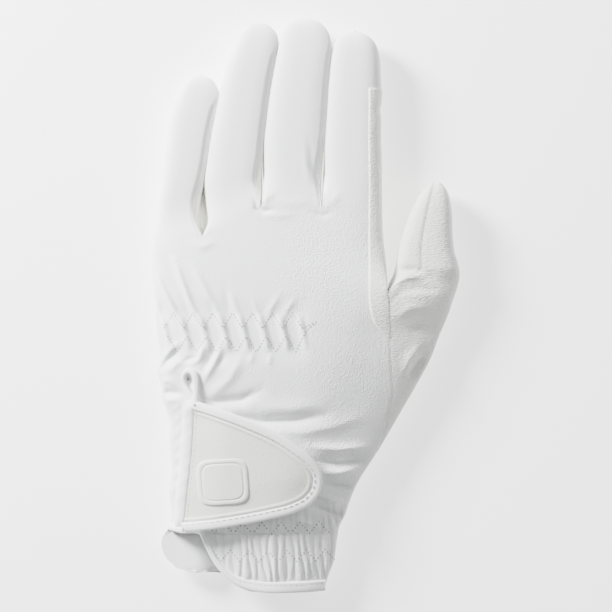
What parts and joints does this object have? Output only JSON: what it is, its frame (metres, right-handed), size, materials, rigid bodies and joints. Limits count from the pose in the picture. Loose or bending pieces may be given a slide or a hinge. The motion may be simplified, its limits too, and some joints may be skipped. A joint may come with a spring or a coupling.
{
  "type": "riding glove",
  "caption": "Left-hand synthetic leather riding glove with bending fingers, gathered back, bound wrist vent and a hook-and-loop wrist tab.",
  "frame": {"origin": "middle of the glove's outline, on the surface that it lies on, palm down", "axes": "+Y from the wrist to the fingertips, +X to the thumb side, +Z out of the back of the hand"},
  "size_m": [0.1268, 0.2394, 0.0232],
  "materials": {
    "back_leather": "soft synthetic leather with a fine pebbled grain, cool white, satin",
    "palm_leather": "smooth synthetic leather, warm white, satin",
    "fourchette_leather": "thin stretch synthetic leather, cream white, fine cross grain",
    "grip_leather": "reinforcement layer, cream white, satin",
    "tab_leather": "smooth synthetic leather with a raised stitched edge, pale cream grey",
    "binding": "folded edge tape, bright white, stitched",
    "elastic": "white woven elastic",
    "hook_and_loop": "white hook-and-loop tape",
    "badge": "soft moulded pad, cream white, blank"
  },
  "bodies": {
    "hand": {"back_elastic": "elastic", "back_hem_binding": "binding", "back_loop_tape": "hook_and_loop", "back_panel": "back_leather", "index_patch_lower": "grip_leather", "palm_grip_patch": "grip_leather", "palm_hem_binding": "binding", "palm_panel": "palm_leather", "thumb_gusset": "back_leather", "vent_binding": "binding", "vent_loop_binding": "binding", "vent_side_binding": "binding", "wrist_elastic": "elastic"},
    "little": {"little_back": "back_leather", "little_fourchette_inner": "fourchette_leather", "little_palm": "palm_leather"},
    "ring": {"ring_back": "back_leather", "ring_fourchette_inner": "fourchette_leather", "ring_fourchette_outer": "fourchette_leather", "ring_grip_patch": "grip_leather", "ring_palm": "palm_leather"},
    "middle": {"middle_back": "back_leather", "middle_fourchette_inner": "fourchette_leather", "middle_fourchette_outer": "fourchette_leather", "middle_palm": "palm_leather"},
    "index": {"index_back": "back_leather", "index_fourchette_outer": "fourchette_leather", "index_palm": "palm_leather", "index_patch_upper": "grip_leather"},
    "thumb": {"thumb_inner": "fourchette_leather", "thumb_outer": "back_leather"},
    "tab": {"tab_badge": "badge", "tab_binding": "binding", "tab_face": "tab_leather", "tab_hook_tape": "hook_and_loop"}
  },
  "joints": [
    {"name": "little_bend", "type": "hinge", "parent": "hand", "child": "little", "pos_m": [-0.0534, 0.02945, 0.0015], "axis": [-0.9897, 0.1432, 0], "range_deg": [0, 60]},
    {"name": "ring_bend", "type": "hinge", "parent": "hand", "child": "ring", "pos_m": [-0.03045, 0.03495, 0.0015], "axis": [-0.9933, 0.1151, 0], "range_deg": [0, 60]},
    {"name": "middle_bend", "type": "hinge", "parent": "hand", "child": "middle", "pos_m": [-0.00525, 0.04095, 0.0015], "axis": [-0.9982, 0.0602, 0], "range_deg": [0, 60]},
    {"name": "index_bend", "type": "hinge", "parent": "hand", "child": "index", "pos_m": [0.0205, 0.0402, 0.0015], "axis": [-1, 0.0014, 0], "range_deg": [0, 60]},
    {"name": "thumb_bend", "type": "hinge", "parent": "hand", "child": "thumb", "pos_m": [0.0493, 0.0027, 0.0023], "axis": [-0.9946, 0.1033, 0], "range_deg": [0, 40]},
    {"name": "tab_peel", "type": "hinge", "parent": "hand", "child": "tab", "pos_m": [-0.0497, -0.066, 0.01821], "axis": [-0.0844, -0.9964, 0], "range_deg": [0, 150]}
  ]
}
